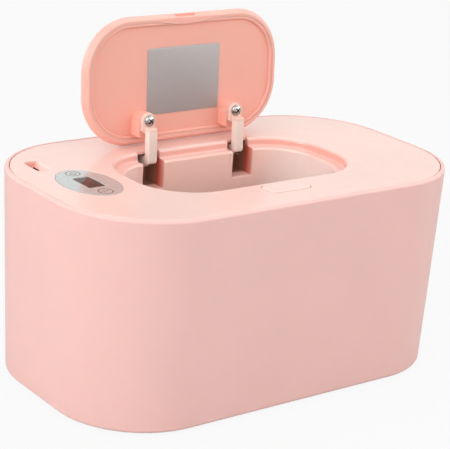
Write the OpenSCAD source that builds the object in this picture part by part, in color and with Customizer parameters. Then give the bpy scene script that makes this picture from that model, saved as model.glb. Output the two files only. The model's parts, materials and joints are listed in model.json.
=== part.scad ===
// Baby wipe warmer with a lift-off heated cover and a flip lid.
// Millimetres. Origin at the centre of the footprint on the table, +Z up,
// +X along the long side, -Y at the front, where the release button is.
// The lid is drawn closed and then turned back about its hinge pin, so it rests open.

/* [Body] */
// Length of the shell at its rim
body_l = 230; // [215:1:250]
// Width of the shell at its rim
body_w = 137; // [130:1:150]
// Height of the shell from its lower edge to its rim
body_h = 108.1; // [95:0.1:130]
// Corner radius of the shell at its rim
corner_r = 50.5; // [44:0.5:56]
// Corner radius of the shell at its lower edge
foot_corner_r = 46.5; // [42:0.5:50]
// Taper of the two ends down to the lower edge, on each side
taper_x = 4.1; // [2:0.1:6]
// Taper of the front and back down to the lower edge, on each side
taper_y = 2.6; // [1:0.1:5]
// Wall of the shell
shell_t = 2.2; // [1.8:0.1:3]
// Rounding of the shell's outer rim edge
rim_r = 1.5; // [0.8:0.1:1.8]
// Rounding of the shell's lower edge
base_r = 1.7; // [1:0.1:3]
// Height of the feet below the shell
foot_h = 1.2; // [0.8:0.1:3]
// Radius of each foot
foot_r = 6; // [4:0.5:9]

/* [Tank] */
// Wall of the wipes tank
tank_t = 1.6; // [1.2:0.1:2.5]
// Gap between the tank and the ribs of the shell
tank_gap = 0.5; // [0.3:0.1:1]
// Reach of each carrier rib from the shell's wall under the rim
rib_reach = 5.7; // [4.5:0.1:8]
// Thickness of each carrier rib
rib_t = 2; // [1.5:0.1:3]
// Thickness of the foam pad below the tank
pad_t = 3.8; // [2:0.1:6]

/* [Cover] */
// Gap between the cover and the rim
seam = 0.35; // [0.2:0.05:0.6]
// Thickness of the cover's top
skin_t = 1.8; // [1.5:0.1:2.4]
// Depth of the cover's skirt from its top to its lower edge
cover_h = 25.3; // [24:0.1:30]
// Wall of the skirt, the well and the pockets
wall_t = 1.8; // [1.5:0.1:2.4]

/* [Lid and well] */
// Half length of the lid's recess
recess_hx = 62.4; // [58:0.1:66]
// Half width of the lid's recess
recess_hy = 34.2; // [32:0.1:36]
// Corner radius of the lid's recess
recess_r = 28.2; // [24:0.1:30]
// Place of the recess's middle, towards the front
recess_y = -1.3; // [-3:0.1:0]
// Depth of the ledge that the lid closes on
ledge_d = 4.6; // [4:0.1:5]
// Gap between the lid and the recess
lid_gap = 0.6; // [0.5:0.1:0.8]
// Height of the closed lid above its rim
lid_h = 6.2; // [5.8:0.1:7]
// Wall of the lid
lid_t = 1.8; // [1.5:0.1:2]
// How far the lid turns, from open to closed
lid_turn = 93.3; // [88:0.1:95]
// Distance of the hinge pin behind the middle of the cover
hinge_y = 40; // [39.8:0.1:40.4]
// Depth of the hinge pin below the cover's top
hinge_d = 6.9; // [6.7:0.1:7.2]
// Distance of each hinge arm from the middle
arm_x = 28; // [26:0.5:32]
// Width of each hinge arm
arm_w = 5.2; // [4:0.1:6]
// Radius of each hinge pin
pin_r = 1.5; // [1:0.1:1.6]

/* [Release button] */
// Length of the button
button_l = 25; // [20:0.5:28]
// Width of the button
button_w = 12; // [11.5:0.1:12.5]
// Distance of the button's middle in front of the cover's middle
button_y = 45.5; // [45.3:0.1:45.8]
// How far the button and the latch travel
button_travel = 1; // [0.8:0.1:1]

/* [Controls] */
// Distance of the control panel to the left of the middle
panel_x = 85.7; // [84:0.1:88]
// Half length of the oval control panel, along X
panel_rx = 14.2; // [13:0.1:16]
// Half width of the oval control panel, along Y
panel_ry = 21; // [19:0.1:23]
// Length of the display window, along X
window_x = 9.5; // [8:0.1:11]
// Width of the display window, along Y
window_y = 16; // [13:0.1:17]
// Distance of each touch key from the panel's middle
key_y = 15; // [14:0.1:16]

/* [Power inlet] */
// Radius of the recess round the power inlet
inlet_r = 5; // [4.6:0.1:5.4]
// Depth of the recess round the power inlet
inlet_d = 3; // [2.5:0.1:4]
// Depth of the inlet's middle below the rim
inlet_z = 10.3; // [9.5:0.1:11.5]

/* [Hidden] */
$fn = 64;
eps = 0.01;
// Overshoot of cuts, and overlap of the parts of one solid
over = 1;
join = 0.2;

// Levels, from the table up
base_z = foot_h;
rim_z = foot_h + body_h;
floor_z = base_z + shell_t;
skin_z = rim_z - skin_t;
ledge_z = rim_z - ledge_d;
skirt_z = rim_z - cover_h;
tray_t = 1.8;
tray_z = skirt_z;
film_t = 0.4;
plate_t = 1;
plate_z = tray_z - film_t - plate_t;
gasket_t = 1.5;
flange_z = skirt_z - gasket_t;
flange_t = 2;
rib_z = flange_z - flange_t;
lid_lift = 0.3;
lid_rim_z = ledge_z + lid_lift;
lid_top_z = lid_rim_z + lid_h;

// Colours
pink = [0.97, 0.74, 0.71];
pale_pink = [0.99, 0.85, 0.81];
salmon = [0.97, 0.62, 0.55];
nylon = [0.95, 0.88, 0.83];
steel = [0.72, 0.72, 0.74];
copper = [0.8, 0.5, 0.3];

// Corner points of an arc about [cx, cy], for profiles
function arc(cx, cy, r, a0, a1, n) =
    [for (i = [0 : n]) let (a = a0 + (a1 - a0) * i / n) [cx + r * cos(a), cy + r * sin(a)]];

// Rounded rectangle with true arcs
module outline(hx, hy, r) {
    square([2 * hx, 2 * (hy - r)], center = true);
    square([2 * (hx - r), 2 * hy], center = true);
    for (sx = [-1, 1], sy = [-1, 1])
        translate([sx * (hx - r), sy * (hy - r)]) circle(r = r);
}

// Sweeps a profile round a rounded rectangle: the profile's x points outward from the path, its y up
module sweep_round(hx, hy, r) {
    for (turn = [0, 180]) {
        rotate(turn) translate([r - hx, hy, 0]) rotate([90, 0, 90])
            linear_extrude(2 * (hx - r)) children();
        rotate(turn + 90) translate([r - hy, hx, 0]) rotate([90, 0, 90])
            linear_extrude(2 * (hy - r)) children();
    }
    for (i = [0 : 3]) {
        sx = (i == 0 || i == 3) ? 1 : -1;
        sy = i < 2 ? 1 : -1;
        translate([sx * (hx - r), sy * (hy - r), 0]) rotate(90 * i)
            rotate_extrude(angle = 90) translate([r, 0]) children();
    }
}

// Tube along points: rings of a fixed number of sides, square to the path
function unit(v) = v / norm(v);
function tangent(p, i) = unit(p[min(i + 1, len(p) - 1)] - p[max(i - 1, 0)]);
function ring(c, t, up, r, n) =
    let (a = unit(cross(t, up)), b = cross(t, a))
    [for (k = [0 : n - 1]) c + r * cos(360 * k / n) * a + r * sin(360 * k / n) * b];
module tube(p, r, n, up) {
    rings = len(p);
    points = [for (i = [0 : rings - 1]) each ring(p[i], tangent(p, i), up, r, n)];
    sides = [for (i = [0 : rings - 2], k = [0 : n - 1])
        each [[i * n + k, (i + 1) * n + (k + 1) % n, i * n + (k + 1) % n],
              [i * n + k, (i + 1) * n + k, (i + 1) * n + (k + 1) % n]]];
    start = [for (k = [1 : n - 2]) [0, k, k + 1]];
    last = (rings - 1) * n;
    finish = [for (k = [1 : n - 2]) [last, last + k + 1, last + k]];
    polyhedron(points, concat(sides, start, finish), convexity = 10);
}

// Half sizes and corner radius of the tapered body at a height, less an inset
function rise(z) = (z - base_z) / body_h;
function body_hx(z, inset) = body_l / 2 - taper_x * (1 - rise(z)) - inset;
function body_hy(z, inset) = body_w / 2 - taper_y * (1 - rise(z)) - inset;
function body_r(z, inset) = foot_corner_r + (corner_r - foot_corner_r) * rise(z) - inset;

// One thin level of a tapered form
module level(z, inset, sides = 72) {
    r = body_r(z, inset);
    for (sx = [-1, 1], sy = [-1, 1])
        translate([sx * (body_hx(z, inset) - r), sy * (body_hy(z, inset) - r), z])
            cylinder(r = r, h = eps, $fn = sides);
}

// Shell: a tapered tub with a rounded rim and lower edge, ribs inside, and a notch at the back
fillet_steps = 5;
module shell_form() {
    hull() {
        for (i = [0 : fillet_steps]) {
            a = 90 * i / fillet_steps;
            level(base_z + base_r * (1 - sin(a)), base_r * (1 - cos(a)));
            level(rim_z - eps - rim_r * (1 - sin(a)), rim_r * (1 - cos(a)));
        }
    }
}
cavity_r = 2;
module shell_cavity() {
    hull() {
        level(floor_z, shell_t + cavity_r);
        level(floor_z + cavity_r, shell_t);
        level(rim_z + eps, shell_t);
    }
}
tank_hx = body_hx(rib_z, shell_t) - rib_reach - tank_gap;
tank_hy = body_hy(rib_z, shell_t) - rib_reach - tank_gap;
rib_in_x = tank_hx + tank_gap;
rib_in_y = tank_hy + tank_gap;
rib_corner = body_r(rib_z, shell_t) - rib_reach;
side_rib_x = [-45, 0, 45];
module ribs() {
    rib_h = rib_z - floor_z + cavity_r;
    rib_l = 12;
    translate([0, 0, floor_z - cavity_r]) {
        for (x = side_rib_x, s = [0, 180])
            rotate(s) translate([x - rib_t / 2, rib_in_y, 0]) cube([rib_t, rib_l, rib_h]);
        for (s = [0, 180])
            rotate(s) translate([rib_in_x, -rib_t / 2, 0]) cube([rib_l, rib_t, rib_h]);
        for (sx = [-1, 1], sy = [-1, 1])
            translate([sx * (rib_in_x - rib_corner), sy * (rib_in_y - rib_corner), 0])
                rotate(atan2(sy, sx)) translate([rib_corner, -rib_t / 2, 0])
                    cube([rib_l, rib_t, rib_h]);
    }
}
foot_seat = 1;
foot_gap = 0.1;
foot_chamfer = 0.6;
foot_in_x = 30;
foot_in_y = 27;
foot_place = [for (sx = [-1, 1], sy = [-1, 1]) [sx * (body_l / 2 - foot_in_x), sy * (body_w / 2 - foot_in_y)]];
tongue_w = 17.2;
tongue_h = 18.5;
tongue_gap = 0.4;
tongue_low = rim_z - tongue_h;
notch_reach = 8;
module outer_shell() {
    color(pink) difference() {
        shell_form();
        difference() {
            shell_cavity();
            ribs();
        }
        for (p = foot_place)
            translate([p[0], p[1], base_z - eps]) cylinder(r = foot_r + foot_gap, h = foot_seat + eps);
        translate([-tongue_w / 2 - tongue_gap, body_w / 2 - notch_reach, tongue_low - tongue_gap])
            cube([tongue_w + 2 * tongue_gap, 2 * notch_reach, 2 * tongue_h]);
    }
}
module rubber_feet() {
    color([0.25, 0.24, 0.24])
        for (p = foot_place)
            translate([p[0], p[1], 0]) {
                cylinder(r1 = foot_r - foot_chamfer, r2 = foot_r, h = foot_chamfer);
                translate([0, 0, foot_chamfer]) cylinder(r = foot_r, h = foot_h + foot_seat - foot_chamfer);
            }
}

// Tank: a tapered tub with a rounded floor, hung by its flange on the shell's ribs
tank_floor_z = floor_z + pad_t;
tank_inset = body_hx(rib_z, 0) - tank_hx;
tank_floor_r = 9;
module tank_form(inset, low, high) {
    steps = 4;
    hull() {
        for (i = [0 : steps]) {
            a = 90 * i / steps;
            r = tank_floor_r - (inset - tank_inset);
            level(low + r * (1 - sin(a)), inset + r * (1 - cos(a)), 64);
        }
        level(high, inset, 64);
    }
}
flange_edge = 0.5;
module inner_tank() {
    color([0.93, 0.93, 0.92]) difference() {
        union() {
            tank_form(tank_inset, tank_floor_z, flange_z - over);
            translate([0, 0, rib_z])
                linear_extrude(flange_t)
                    outline(body_hx(rib_z, shell_t + flange_edge), body_hy(rib_z, shell_t + flange_edge),
                            body_r(rib_z, shell_t + flange_edge));
        }
        tank_form(tank_inset + tank_t, tank_floor_z + tank_t, flange_z + over);
    }
}
pad_in = 4;
module foam_pad() {
    side = tank_floor_r + pad_in;
    color([0.85, 0.85, 0.83])
        translate([0, 0, floor_z])
            linear_extrude(pad_t)
                outline(body_hx(floor_z, tank_inset + side), body_hy(floor_z, tank_inset + side),
                        body_r(floor_z, tank_inset + side));
}

// Cover: top, skirt, recess with its ledge, well, hinge pockets, finger notch and bosses
cover_hx = body_l / 2 - shell_t - seam;
cover_hy = body_w / 2 - shell_t - seam;
cover_r = corner_r - shell_t - seam;
edge_r = 0.6;
edge_w = 6;
edge_low = skin_z - 0.7;
skirt_in = 1.5;
module cover_edge() {
    polygon(concat([[-edge_w, skin_z], [-edge_w, rim_z]], arc(-edge_r, rim_z - edge_r, edge_r, 90, 0, 4),
        [[0, edge_low], [-skirt_in, edge_low - skirt_in], [-skirt_in, skirt_z],
         [-skirt_in - wall_t, skirt_z], [-skirt_in - wall_t, skin_z]]));
}
recess_edge_r = 2;
ledge_r = 0.8;
well_in = 5.2;
well_edge_r = 1;
well_draft = 1;
well_low = plate_z;
recess_out = recess_edge_r + 2;
module recess_profile() {
    under = ledge_z - wall_t;
    polygon(concat([[recess_out, rim_z]],
        arc(recess_edge_r, rim_z - recess_edge_r, recess_edge_r, 90, 180, 5),
        arc(-ledge_r, ledge_z + ledge_r, ledge_r, 0, -90, 4),
        arc(-well_in + well_edge_r, ledge_z - well_edge_r, well_edge_r, 90, 180, 4),
        [[-well_in - well_draft, well_low], [-well_in - well_draft + wall_t, well_low],
         [-well_in + wall_t, under - well_edge_r], [-well_in + wall_t + well_edge_r, under],
         [wall_t, under], [wall_t, skin_z], [recess_out, skin_z]]));
}
// Space that the recess's swept wall then lines
module recess_space() {
    inner = wall_t / 2;
    translate([0, recess_y, ledge_z - inner]) linear_extrude(2 * ledge_d)
        outline(recess_hx + inner, recess_hy + inner, recess_r + inner);
    translate([0, recess_y, skin_z - over]) linear_extrude(2 * ledge_d)
        outline(recess_hx + recess_edge_r, recess_hy + recess_edge_r, recess_r + recess_edge_r);
}
// Space down the well
module well_space() {
    translate([0, recess_y, well_low - over])
        linear_extrude(ledge_z - well_low)
            outline(recess_hx - well_in - well_draft, recess_hy - well_in - well_draft,
                    recess_r - well_in - well_draft);
}
pocket_in = 22.1;
pocket_out = 35.7;
pocket_d = 19.1;
pocket_low = rim_z - pocket_d;
pocket_back = hinge_y + 4.5;
slot_back = hinge_y - 5;
pocket_w = pocket_out - pocket_in;
pocket_x = (pocket_in + pocket_out) / 2;
well_back = recess_y + recess_hy - well_in;
module pocket_blocks() {
    front = well_back - 2 * join;
    for (s = [-1, 1])
        translate([s * pocket_x - pocket_w / 2 - wall_t, front, pocket_low - wall_t])
            cube([pocket_w + 2 * wall_t, pocket_back + wall_t - front, skin_z - pocket_low + wall_t + join]);
}
module pocket_cuts() {
    front = well_back - well_draft - 2 * over;
    for (s = [-1, 1])
        translate([s * pocket_x - pocket_w / 2, front, pocket_low]) {
            cube([pocket_w, pocket_back - front, skin_z - pocket_low]);
            cube([pocket_w, slot_back - front, rim_z - pocket_low + over]);
        }
}
hinge_z = rim_z - hinge_d;
pin_in = pocket_in - wall_t;
pin_out = pocket_out + wall_t;
module pin_holes() {
    for (s = [0, 1])
        mirror([s, 0, 0]) translate([pin_in - over, hinge_y, hinge_z]) rotate([0, 90, 0])
            cylinder(r = pin_r, h = pin_out - pin_in + 2 * over);
}

// Finger notch that lifts the cover: a cup below the top, with a level floor and a ramp
notch_in = 13.55;
notch_x = notch_in - cover_hx;
notch_y = 33.5;
notch_l = 17;
notch_w = 8.4;
notch_flat = 4.6;
notch_d = 5;
notch_r = 3;
slit_l = 6;
slit_w = 1;
slit_x = notch_x + notch_flat + 0.6;
slit_y = notch_y + 1.6;
slit_top = 2.4;
module notch_shape(grow) {
    translate([0, notch_y - notch_l / 2 - grow, rim_z])
        rotate([90, 0, 180]) mirror([1, 0, 0])
            linear_extrude(notch_l + 2 * grow)
                polygon([[notch_x - grow, over], [notch_x - grow, -notch_d - grow],
                         [notch_x + notch_flat + grow / 2, -notch_d - grow],
                         [notch_x + notch_w + grow, 0], [notch_x + notch_w + grow, over]]);
}
module notch_corner(grow) {
    translate([notch_x + notch_w / 2, notch_y, rim_z - 2 * notch_d])
        linear_extrude(4 * notch_d)
            outline(notch_w / 2 + grow, notch_l / 2 + grow, notch_r + grow);
}

// Places of the screws and bosses
corner_screw_in = [36.5, 22];
corner_screw_x = cover_hx - corner_screw_in[0];
corner_screw_y = cover_hy - corner_screw_in[1];
front_screw_x = 40;
front_screw_y = cover_hy - 18;
back_screw_x = 12;
back_screw_y = cover_hy - 17;
tray_screw_place = concat([for (sx = [-1, 1], sy = [-1, 1]) [sx * corner_screw_x, sy * corner_screw_y]],
    [for (sx = [-1, 1]) [sx * front_screw_x, -front_screw_y]],
    [for (sx = [-1, 1]) [sx * back_screw_x, back_screw_y]]);
boss_r = 3.4;
board_boss_r = 2.6;
keeper_boss_r = 3;
pilot_r = 1.25;
tray_top_z = tray_z + tray_t;
board_t = 1.6;
board_d = 10.1;
board_z = rim_z - board_d;
board_l = 33;
board_w = 48;
board_x = -panel_x + 0.7;
board_hole_x = board_l / 2 - 3.5;
board_hole_y = board_w / 2 - 4;
board_screw_place = [for (sx = [-1, 1], sy = [-1, 1]) [board_x + sx * board_hole_x, sy * board_hole_y]];
module boss(x, y, low, r) {
    translate([x, y, low]) cylinder(r = r, h = skin_z - low + join);
}
module pilot(x, y, low) {
    translate([x, y, low - over]) cylinder(r = pilot_r, h = skin_z - low - over);
}

// Button opening and latch levels, from the cover's top down
opening_gap = 0.3;
button_r = 3.7;
keeper_x = 17.5;
keeper_y = -button_y - 2.5;
keeper_d = 9.8;
keeper_top = rim_z - keeper_d;
keeper_t = 1.5;
nose_x = 6;
nose_t = 1.1;
nose_gap = 0.4;
nose_play = 0.1;
nose_low = lid_rim_z + 0.9;
nose_top = nose_low + nose_t;
panel_t = 0.6;
panel_seat = 0.4;
panel_gap = 0.15;
panel_y = 0.3;
window_r = 1;
window_gap = 0.6;
module ellipse_plate(rx, ry, h) {
    linear_extrude(h)
        polygon([for (a = [0 : 5 : 355]) [rx * cos(a), ry * sin(a)]]);
}
module window_hole(grow, low, high) {
    translate([-panel_x, panel_y, low])
        linear_extrude(high - low)
            outline(window_x / 2 + grow, window_y / 2 + grow, window_r + max(grow, -window_r / 2));
}
jack_w = 9;
jack_l = 12;
jack_h = 10.5;
jack_gap = 0.1;
jack_z = rim_z - inlet_z;
tongue_y = body_w / 2 - 0.5;
tongue_root = cover_hy - 4;
jack_front = tongue_y - inlet_d;
jack_back = jack_front - jack_l;
module tongue() {
    corner = 1.2;
    translate([-tongue_w / 2, 0, 0]) rotate([90, 0, 90])
        linear_extrude(tongue_w)
            polygon(concat([[tongue_root, tongue_low], [tongue_y, tongue_low]],
                arc(tongue_y - corner, rim_z - corner, corner, 0, 90, 4), [[tongue_root, rim_z]]));
}
module top_cover() {
    color(pale_pink) difference() {
        union() {
            difference() {
                union() {
                    sweep_round(cover_hx, cover_hy, cover_r) cover_edge();
                    translate([0, 0, skin_z]) linear_extrude(skin_t)
                        outline(cover_hx - edge_w + over, cover_hy - edge_w + over, cover_r - edge_w + over);
                    pocket_blocks();
                    tongue();
                    intersection() {
                        notch_shape(wall_t);
                        notch_corner(wall_t);
                        linear_extrude(rim_z - edge_r) square(2 * body_l, center = true);
                    }
                    for (p = tray_screw_place) boss(p[0], p[1], tray_top_z, boss_r);
                    for (p = board_screw_place) boss(p[0], p[1], board_z + board_t, board_boss_r);
                    for (s = [-1, 1]) boss(s * keeper_x, keeper_y, keeper_top, keeper_boss_r);
                }
                recess_space();
            }
            translate([0, recess_y, 0]) sweep_round(recess_hx, recess_hy, recess_r) recess_profile();
        }
        well_space();
        pocket_cuts();
        pin_holes();
        intersection() {
            notch_shape(0);
            notch_corner(0);
        }
        translate([slit_x, slit_y, rim_z - 2 * notch_d]) cube([slit_w, slit_l, 2 * notch_d - slit_top]);
        for (p = tray_screw_place) pilot(p[0], p[1], tray_top_z);
        for (p = board_screw_place) pilot(p[0], p[1], board_z + board_t);
        for (s = [-1, 1]) pilot(s * keeper_x, keeper_y, keeper_top);
        translate([0, -button_y, skin_z - over]) linear_extrude(skin_t + 2 * over)
            outline(button_l / 2 + opening_gap, button_w / 2 + opening_gap, button_r + opening_gap);
        translate([-nose_x - nose_gap, recess_y - recess_hy - wall_t - over, nose_low - nose_play])
            cube([2 * (nose_x + nose_gap), wall_t + 2 * over, nose_t + 3 * nose_play]);
        translate([-panel_x, panel_y, rim_z - panel_seat])
            ellipse_plate(panel_rx + panel_gap, panel_ry + panel_gap, 2 * panel_seat);
        window_hole(window_gap, skin_z - over, rim_z + over);
        translate([0, jack_front, jack_z]) rotate([-90, 0, 0]) cylinder(r = inlet_r, h = inlet_d + over);
        translate([-jack_w / 2 - jack_gap, tongue_root - over, jack_z - jack_h / 2 - jack_gap])
            cube([jack_w + 2 * jack_gap, jack_front - tongue_root + over + eps, jack_h + 2 * jack_gap]);
    }
}

// Tray that closes the cover from below, with the heating film and plate under it
skirt_gap = 0.2;
tray_hx = cover_hx - skirt_in - wall_t - skirt_gap;
tray_hy = cover_hy - skirt_in - wall_t - skirt_gap;
tray_r = cover_r - skirt_in - wall_t - skirt_gap;
collar_gap = 0.3;
collar = -well_in + wall_t + collar_gap;
plate_edge = 9;
film_edge = plate_edge + 1;
plate_gap = 0.5;
film_gap = 1.5;
screw_hole_r = 1.7;
film_hole_r = 2.4;
thermostat_in = 38.5;
thermostat_x = cover_hx - thermostat_in;
thermostat_r = 7;
thermostat_gap = 0.4;
sensor_x = thermostat_x;
sensor_y = 22;
sensor_l = 7;
sensor_w = 5;
sensor_h = 2.4;
sensor_gap = 0.5;
module well_hole(grow) {
    translate([0, recess_y, plate_z - over])
        linear_extrude(tray_top_z - plate_z + 2 * over)
            outline(recess_hx + collar + grow, recess_hy + collar + grow, recess_r + collar + grow);
}
module screw_holes(r, low, high) {
    for (p = tray_screw_place) translate([p[0], p[1], low]) cylinder(r = r, h = high - low);
}
module cover_tray() {
    color([0.94, 0.94, 0.93]) difference() {
        translate([0, 0, tray_z]) linear_extrude(tray_t) outline(tray_hx, tray_hy, tray_r);
        well_hole(0);
        screw_holes(screw_hole_r, tray_z - over, tray_top_z + over);
        translate([thermostat_x, 0, tray_z - over])
            cylinder(r = thermostat_r + thermostat_gap, h = tray_t + 2 * over);
        translate([sensor_x, sensor_y, tray_z + tray_t / 2])
            cube([sensor_l + 2 * sensor_gap, sensor_w + 2 * sensor_gap, tray_t + 2 * over], center = true);
    }
}
module heater_film() {
    color([0.9, 0.45, 0.2]) difference() {
        translate([0, 0, tray_z - film_t]) linear_extrude(film_t)
            outline(tray_hx - film_edge, tray_hy - film_edge, tray_r - film_edge);
        well_hole(film_gap);
        screw_holes(film_hole_r, plate_z - over, tray_z + over);
    }
}
module heater_plate() {
    color([0.8, 0.81, 0.83]) difference() {
        translate([0, 0, plate_z]) linear_extrude(plate_t)
            outline(tray_hx - plate_edge, tray_hy - plate_edge, tray_r - plate_edge);
        well_hole(plate_gap);
        screw_holes(screw_hole_r, plate_z - over, tray_z);
    }
}
// Screw with a tapered head below, pointing up, and a cross recess in its head
head_taper = 0.6;
cross_w = 0.7;
cross_d = 0.8;
module screw_up(x, y, seat, head_r, head_h, shank_r, shank_l) {
    translate([x, y, seat]) {
        cylinder(r = shank_r, h = shank_l);
        difference() {
            translate([0, 0, -head_h]) cylinder(r1 = head_r - head_taper, r2 = head_r, h = head_h);
            for (a = [0, 90]) rotate(a) translate([-head_r / 2, -cross_w / 2, -head_h - over])
                cube([head_r, cross_w, cross_d + over]);
        }
    }
}
tray_screw_l = 10;
head_r = 2.6;
head_h = 1.6;
module tray_screws() {
    color(steel) for (p = tray_screw_place)
        screw_up(p[0], p[1], plate_z, head_r, head_h, pilot_r, tray_screw_l);
}
gasket_w = 3;
gasket_in = 2.5;
module cover_gasket() {
    color([0.9, 0.9, 0.9])
        sweep_round(tray_hx - gasket_in, tray_hy - gasket_in, tray_r - gasket_in)
            translate([-gasket_w / 2, flange_z]) square([gasket_w, gasket_t]);
}
can_h = 4;
cap_in = 1.5;
cap_h = 2;
tab_x = 4;
tab_w = 3;
tab_t = 0.8;
tab_h = 7;
module thermostat() {
    color([0.25, 0.25, 0.27]) translate([thermostat_x, 0, tray_z]) {
        cylinder(r = thermostat_r, h = can_h);
        translate([0, 0, can_h]) cylinder(r = thermostat_r - cap_in, h = cap_h);
        for (s = [-1, 1]) translate([s * tab_x, 0, can_h + tab_h / 2])
            cube([tab_w, tab_t, tab_h], center = true);
    }
}
module temperature_sensor() {
    color([0.15, 0.15, 0.17])
        translate([sensor_x, sensor_y, tray_z + sensor_h / 2])
            cube([sensor_l, sensor_w, sensor_h], center = true);
}

// Control board under the panel
board_hole_r = 1.5;
module control_board() {
    color([0.16, 0.42, 0.25]) difference() {
        translate([board_x - board_l / 2, -board_w / 2, board_z]) cube([board_l, board_w, board_t]);
        for (p = board_screw_place)
            translate([p[0], p[1], board_z - over]) cylinder(r = board_hole_r, h = board_t + 2 * over);
    }
}
// Parts under the board: place from its middle, then size
chip = [[0, 0], [8, 8, 1.6]];
relay = [[-7.5, 10.5], [5, 5, 3]];
power_plug = [[7, 13], [6, 8, 5.5]];
heater_plug = [[-8, -13], [6, 8, 5.5]];
capacitor_x = 5;
capacitor_y = -16;
capacitor_r = 3;
capacitor_h = 8;
module board_components() {
    color([0.2, 0.2, 0.22]) translate([board_x, 0, board_z]) {
        for (part = [chip, relay, power_plug, heater_plug])
            translate([part[0][0], part[0][1], -part[1][2] / 2]) cube(part[1], center = true);
        translate([capacitor_x, capacitor_y, -capacitor_h]) cylinder(r = capacitor_r, h = capacitor_h);
    }
}
board_head_r = 2.3;
board_head_h = 1.5;
board_screw_l = 6.1;
module board_screws() {
    color(steel) for (p = board_screw_place)
        screw_up(p[0], p[1], board_z, board_head_r, board_head_h, pilot_r, board_screw_l);
}
window_flange = 1.5;
window_low = skin_z - 1;
window_play = 0.15;
display_edge = 0.5;
display_gap = 0.1;
module display_module() {
    color([0.12, 0.1, 0.1])
        translate([-panel_x - window_x / 2 - display_edge, panel_y - window_y / 2 - display_edge, board_z + board_t])
            cube([window_x + 2 * display_edge, window_y + 2 * display_edge,
                  window_low - display_gap - board_z - board_t]);
}
module display_window() {
    color([0.25, 0.06, 0.06]) {
        window_hole(-window_play, skin_z - join, rim_z - panel_seat + panel_t - display_gap);
        window_hole(window_flange, window_low, skin_z);
    }
}
module control_panel() {
    color([0.8, 0.79, 0.79]) difference() {
        translate([-panel_x, panel_y, rim_z - panel_seat]) ellipse_plate(panel_rx, panel_ry, panel_t);
        window_hole(0, skin_z, rim_z + over);
    }
}
spring_sides = 6;
touch_r = 2.6;
touch_wire = 0.35;
touch_turns = 5;
turn_steps = 12;
module touch_springs() {
    low = board_z + board_t + touch_wire;
    rise = skin_z - touch_wire - low;
    steps = turn_steps * touch_turns;
    color(steel) for (s = [-1, 1])
        translate([-panel_x, panel_y + s * key_y, low])
            tube([for (i = [0 : steps]) let (a = 360 * i / turn_steps)
                [touch_r * cos(a), touch_r * sin(a), rise * i / steps]], touch_wire, spring_sides, [0, 0, 1]);
}

// Power inlet at the back, in the cover's tongue, and its leads
socket_r = 2.85;
socket_end = 2.5;
centre_pin_r = 1;
centre_pin_in = 1;
module dc_jack() {
    color([0.1, 0.1, 0.11]) {
        difference() {
            translate([-jack_w / 2, jack_back, jack_z - jack_h / 2]) cube([jack_w, jack_l, jack_h]);
            translate([0, jack_back + socket_end, jack_z]) rotate([-90, 0, 0]) cylinder(r = socket_r, h = jack_l);
        }
        translate([0, jack_back + socket_end - join, jack_z]) rotate([-90, 0, 0])
            cylinder(r = centre_pin_r, h = jack_l - socket_end + join - centre_pin_in);
    }
}
// Routes of the leads, with their heights taken from the rim. They run in a lane inside the skirt
lead_r = 1.1;
lead_steps = 3;
lead_gap = 0.35;
lane_in = [22.5, 8];
lane_x = cover_hx - lane_in[0];
lane_y = cover_hy - lane_in[1];
plug_low = -board_d - power_plug[1][2] - lead_gap;
power_x = board_x + power_plug[0][0];
power_y = power_plug[0][1];
heater_x = board_x + heater_plug[0][0];
heater_y = heater_plug[0][1];
tab_end = thermostat_x + tab_x + tab_w / 2 + lead_gap;
power_route = [[-3, jack_back - lead_gap, -11], [-3.2, jack_back - 2.4, -11.6], [-5.8, jack_back - 2.2, -15],
    [-9, jack_back + 1.4, -19], [-16, lane_y - 1, -20.3], [-34, lane_y - 1.5, -20.5], [-52, lane_y - 5, -20.5],
    [-64, lane_y - 14, -20.5], [-71, 32, -20.5], [-76, 20, -20],
    [power_x, power_y, plug_low - 3], [power_x, power_y, plug_low]];
heater_route = [[heater_x, heater_y, plug_low], [heater_x, heater_y, plug_low - 3], [-93, -20, -20.2],
    [-lane_x, -34, -20.5], [6 - lane_x, 11 - lane_y, -20.5], [-72, 2.5 - lane_y, -20.5], [-56, -lane_y, -20.5],
    [-28, -lane_y - 1, -20.5], [28, -lane_y - 1, -20.5], [56, -lane_y, -20.5], [72, 2.5 - lane_y, -20.5],
    [lane_x - 6, 11 - lane_y, -20.5], [lane_x, -34, -20.5], [lane_x - 1, -14, -20], [lane_x - 4, -3, -18],
    [tab_end + 3, 0, -16.4], [tab_end, 0, -16.4]];
// Point of a smooth curve from b to c, with a before them and d after them
function between(a, b, c, d, t) =
    b + t * (c - a) / 2 + t * t * (a - 2.5 * b + 2 * c - d / 2) + t * t * t * (1.5 * (b - c) + (d - a) / 2);
function curve(p, n) = concat([for (i = [0 : len(p) - 2], k = [0 : n - 1])
    between(p[max(i - 1, 0)], p[i], p[i + 1], p[min(i + 2, len(p) - 1)], k / n)], [p[len(p) - 1]]);
module lead(route) {
    color([0.85, 0.85, 0.85])
        tube(curve([for (p = route) p + [0, 0, rim_z]], lead_steps), lead_r, 8, [0.1, 0.2, 1]);
}
module power_lead() { lead(power_route); }
module heater_lead() { lead(heater_route); }

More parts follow.
